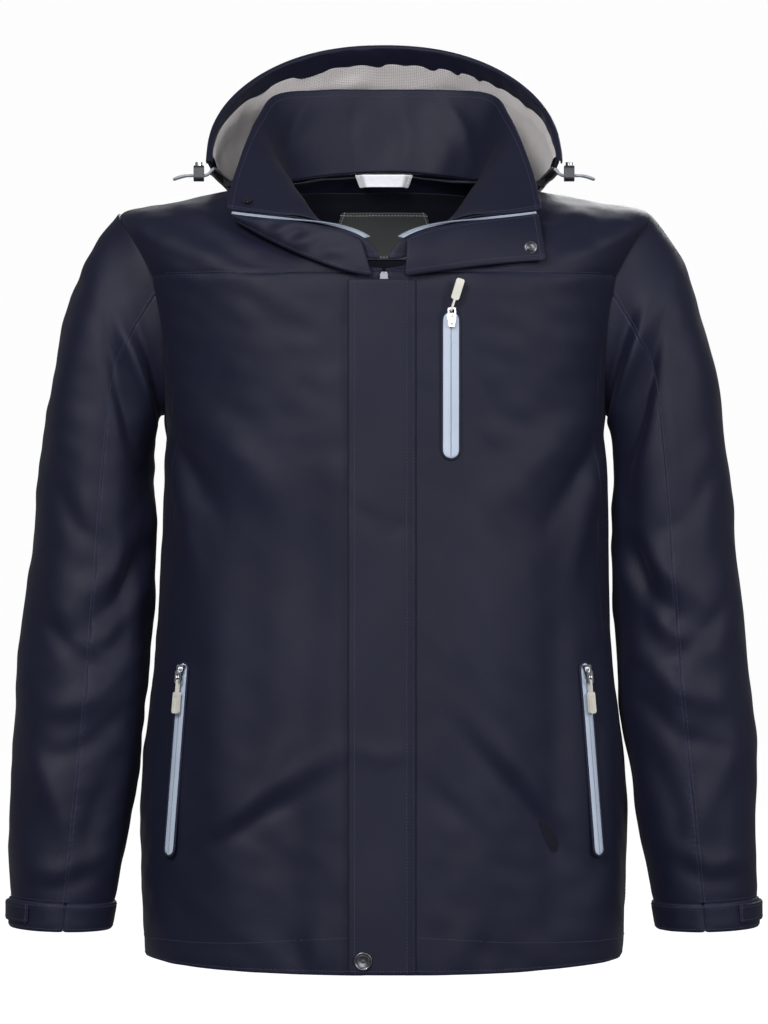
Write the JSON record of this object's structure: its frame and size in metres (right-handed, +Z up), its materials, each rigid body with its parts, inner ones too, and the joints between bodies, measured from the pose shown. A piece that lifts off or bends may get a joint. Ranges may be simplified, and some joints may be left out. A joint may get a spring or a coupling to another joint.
{
  "type": "foul weather jacket",
  "caption": "Hooded sailing jacket in dark coated cloth with a storm flap over the front zip, zipped chest and hand pockets, cuff tabs and drawcord locks, hanging by its loop.",
  "frame": {"origin": "middle of the hanger loop, where it rests on a hook at the back of the neck", "axes": "+Z up along the hanging jacket, +Y out of its back, +X towards the wearer's left sleeve; the front faces -Y"},
  "size_m": [0.7492, 0.3604, 0.9246],
  "materials": {
    "shell_cloth": "satin",
    "lining_cloth": "matt",
    "mesh_lining": "matt",
    "coated_zip": "satin",
    "puller_moulding": "matt",
    "bright_metal": "polished",
    "snap_metal": "satin",
    "loop_tape": "matt",
    "label_cloth": "matt",
    "cord_yarn": "matt",
    "lock_moulding": "satin"
  },
  "bodies": {
    "jacket": {"front_panel_right": "shell_cloth", "front_yoke_right": "shell_cloth", "lining_right": "lining_cloth", "front_panel_left": "shell_cloth", "front_yoke_left": "shell_cloth", "lining_left": "lining_cloth", "back_panel": "shell_cloth", "back_yoke": "shell_cloth", "lining_back": "lining_cloth", "sleeve_upper_right": "shell_cloth", "sleeve_under_right": "shell_cloth", "cuff_right": "shell_cloth", "sleeve_upper_left": "shell_cloth", "sleeve_under_left": "shell_cloth", "cuff_left": "shell_cloth", "collar_shell": "shell_cloth", "collar_facing": "shell_cloth", "main_zip_tape_right": "coated_zip", "collar_zip_tape_right": "coated_zip", "main_zip_tape_left": "coated_zip", "collar_zip_tape_left": "coated_zip", "fly_guard": "shell_cloth", "chest_zip_tape": "coated_zip", "hand_zip_right_tape": "coated_zip", "hand_pocket_bag_right": "lining_cloth", "hand_zip_left_tape": "coated_zip", "hand_pocket_bag_left": "lining_cloth", "chest_pocket_bag": "lining_cloth", "main_zip_box": "bright_metal", "hem_snap_stud": "snap_metal", "collar_snap_stud": "snap_metal", "hanger_loop": "loop_tape", "neck_label": "label_cloth", "hood_skirt": "shell_cloth"},
    "storm_flap": {"storm_flap": "shell_cloth", "hem_snap_cap": "snap_metal"},
    "collar_flap": {"collar_flap": "shell_cloth", "collar_snap_cap": "snap_metal"},
    "chest_slider": {"chest_zip_slider": "bright_metal"},
    "chest_pull": {"chest_zip_link": "bright_metal", "chest_zip_puller": "puller_moulding"},
    "main_slider": {"main_zip_slider": "bright_metal"},
    "hood": {"hood_side_right": "shell_cloth", "hood_side_left": "shell_cloth", "hood_centre": "shell_cloth", "hood_lining": "mesh_lining", "hood_cord_right": "cord_yarn", "hood_cord_left": "cord_yarn"},
    "hand_slider_right": {"hand_zip_right_slider": "bright_metal"},
    "hand_pull_right": {"hand_zip_right_link": "bright_metal", "hand_zip_right_puller": "puller_moulding"},
    "cuff_tab_right": {"cuff_tab_right": "shell_cloth"},
    "cord_lock_right": {"cord_lock_right": "lock_moulding"},
    "cord_button_right": {"cord_lock_button_right": "bright_metal"},
    "hand_slider_left": {"hand_zip_left_slider": "bright_metal"},
    "hand_pull_left": {"hand_zip_left_link": "bright_metal", "hand_zip_left_puller": "puller_moulding"},
    "cuff_tab_left": {"cuff_tab_left": "shell_cloth"},
    "cord_lock_left": {"cord_lock_left": "lock_moulding"},
    "cord_button_left": {"cord_lock_button_left": "bright_metal"}
  },
  "joints": [
    {"name": "storm_flap_open", "type": "hinge", "parent": "jacket", "child": "storm_flap", "pos_m": [0.0315, -0.2043, -0.2], "axis": [0, 0.0147, 0.9999], "range_deg": [0, 115]},
    {"name": "collar_flap_open", "type": "hinge", "parent": "jacket", "child": "collar_flap", "pos_m": [0.02229, -0.20333, -0.07293], "axis": [-0.9299, -0.3125, -0.1939], "range_deg": [0, 30]},
    {"name": "chest_zip_run", "type": "slide", "parent": "jacket", "child": "chest_slider", "axis": [-0.0008, -0.0056, -1], "range_m": [0, 0.125]},
    {"name": "chest_pull_swing", "type": "hinge", "parent": "chest_slider", "child": "chest_pull", "pos_m": [0.06533, -0.20495, -0.15096], "axis": [0.9941, 0.1086, -0.0014], "range_deg": [0, 150]},
    {"name": "main_zip_run", "type": "slide", "parent": "jacket", "child": "main_slider", "axis": [0, -0.0147, -0.9999], "range_m": [0, 0.63]},
    {"name": "hood_turn", "type": "hinge", "parent": "jacket", "child": "hood", "pos_m": [0, -0.0745, 0], "axis": [1, 0, 0], "range_deg": [0, 70]},
    {"name": "hand_zip_right_run", "type": "slide", "parent": "jacket", "child": "hand_slider_right", "axis": [-0.0756, -0.0228, -0.9969], "range_m": [0, 0.17]},
    {"name": "hand_pull_right_swing", "type": "hinge", "parent": "hand_slider_right", "child": "hand_pull_right", "pos_m": [-0.20039, -0.15575, -0.49149], "axis": [-0.7455, 0.6652, 0.0413], "range_deg": [0, 150]},
    {"name": "cuff_tab_right_open", "type": "hinge", "parent": "jacket", "child": "cuff_tab_right", "pos_m": [-0.34849, -0.13758, -0.73018], "axis": [0, 0, 1], "range_deg": [0, 70]},
    {"name": "cord_lock_right_slide", "type": "slide", "parent": "hood", "child": "cord_lock_right", "axis": [-1, 0, 0], "range_m": [0, 0.005]},
    {"name": "cord_button_right_press", "type": "slide", "parent": "cord_lock_right", "child": "cord_button_right", "axis": [0, 0, -1], "range_m": [0, 0.0024], "stiffness_N_per_m": 300},
    {"name": "hand_zip_left_run", "type": "slide", "parent": "jacket", "child": "hand_slider_left", "axis": [0.0756, -0.0228, -0.9969], "range_m": [0, 0.17]},
    {"name": "hand_pull_left_swing", "type": "hinge", "parent": "hand_slider_left", "child": "hand_pull_left", "pos_m": [0.20039, -0.15575, -0.49149], "axis": [-0.7455, -0.6652, -0.0413], "range_deg": [0, 150]},
    {"name": "cuff_tab_left_open", "type": "hinge", "parent": "jacket", "child": "cuff_tab_left", "pos_m": [0.34849, -0.13758, -0.73018], "axis": [0, 0, -1], "range_deg": [0, 70]},
    {"name": "cord_lock_left_slide", "type": "slide", "parent": "hood", "child": "cord_lock_left", "axis": [1, 0, 0], "range_m": [0, 0.005]},
    {"name": "cord_button_left_press", "type": "slide", "parent": "cord_lock_left", "child": "cord_button_left", "axis": [0, 0, -1], "range_m": [0, 0.0024], "stiffness_N_per_m": 300}
  ]
}
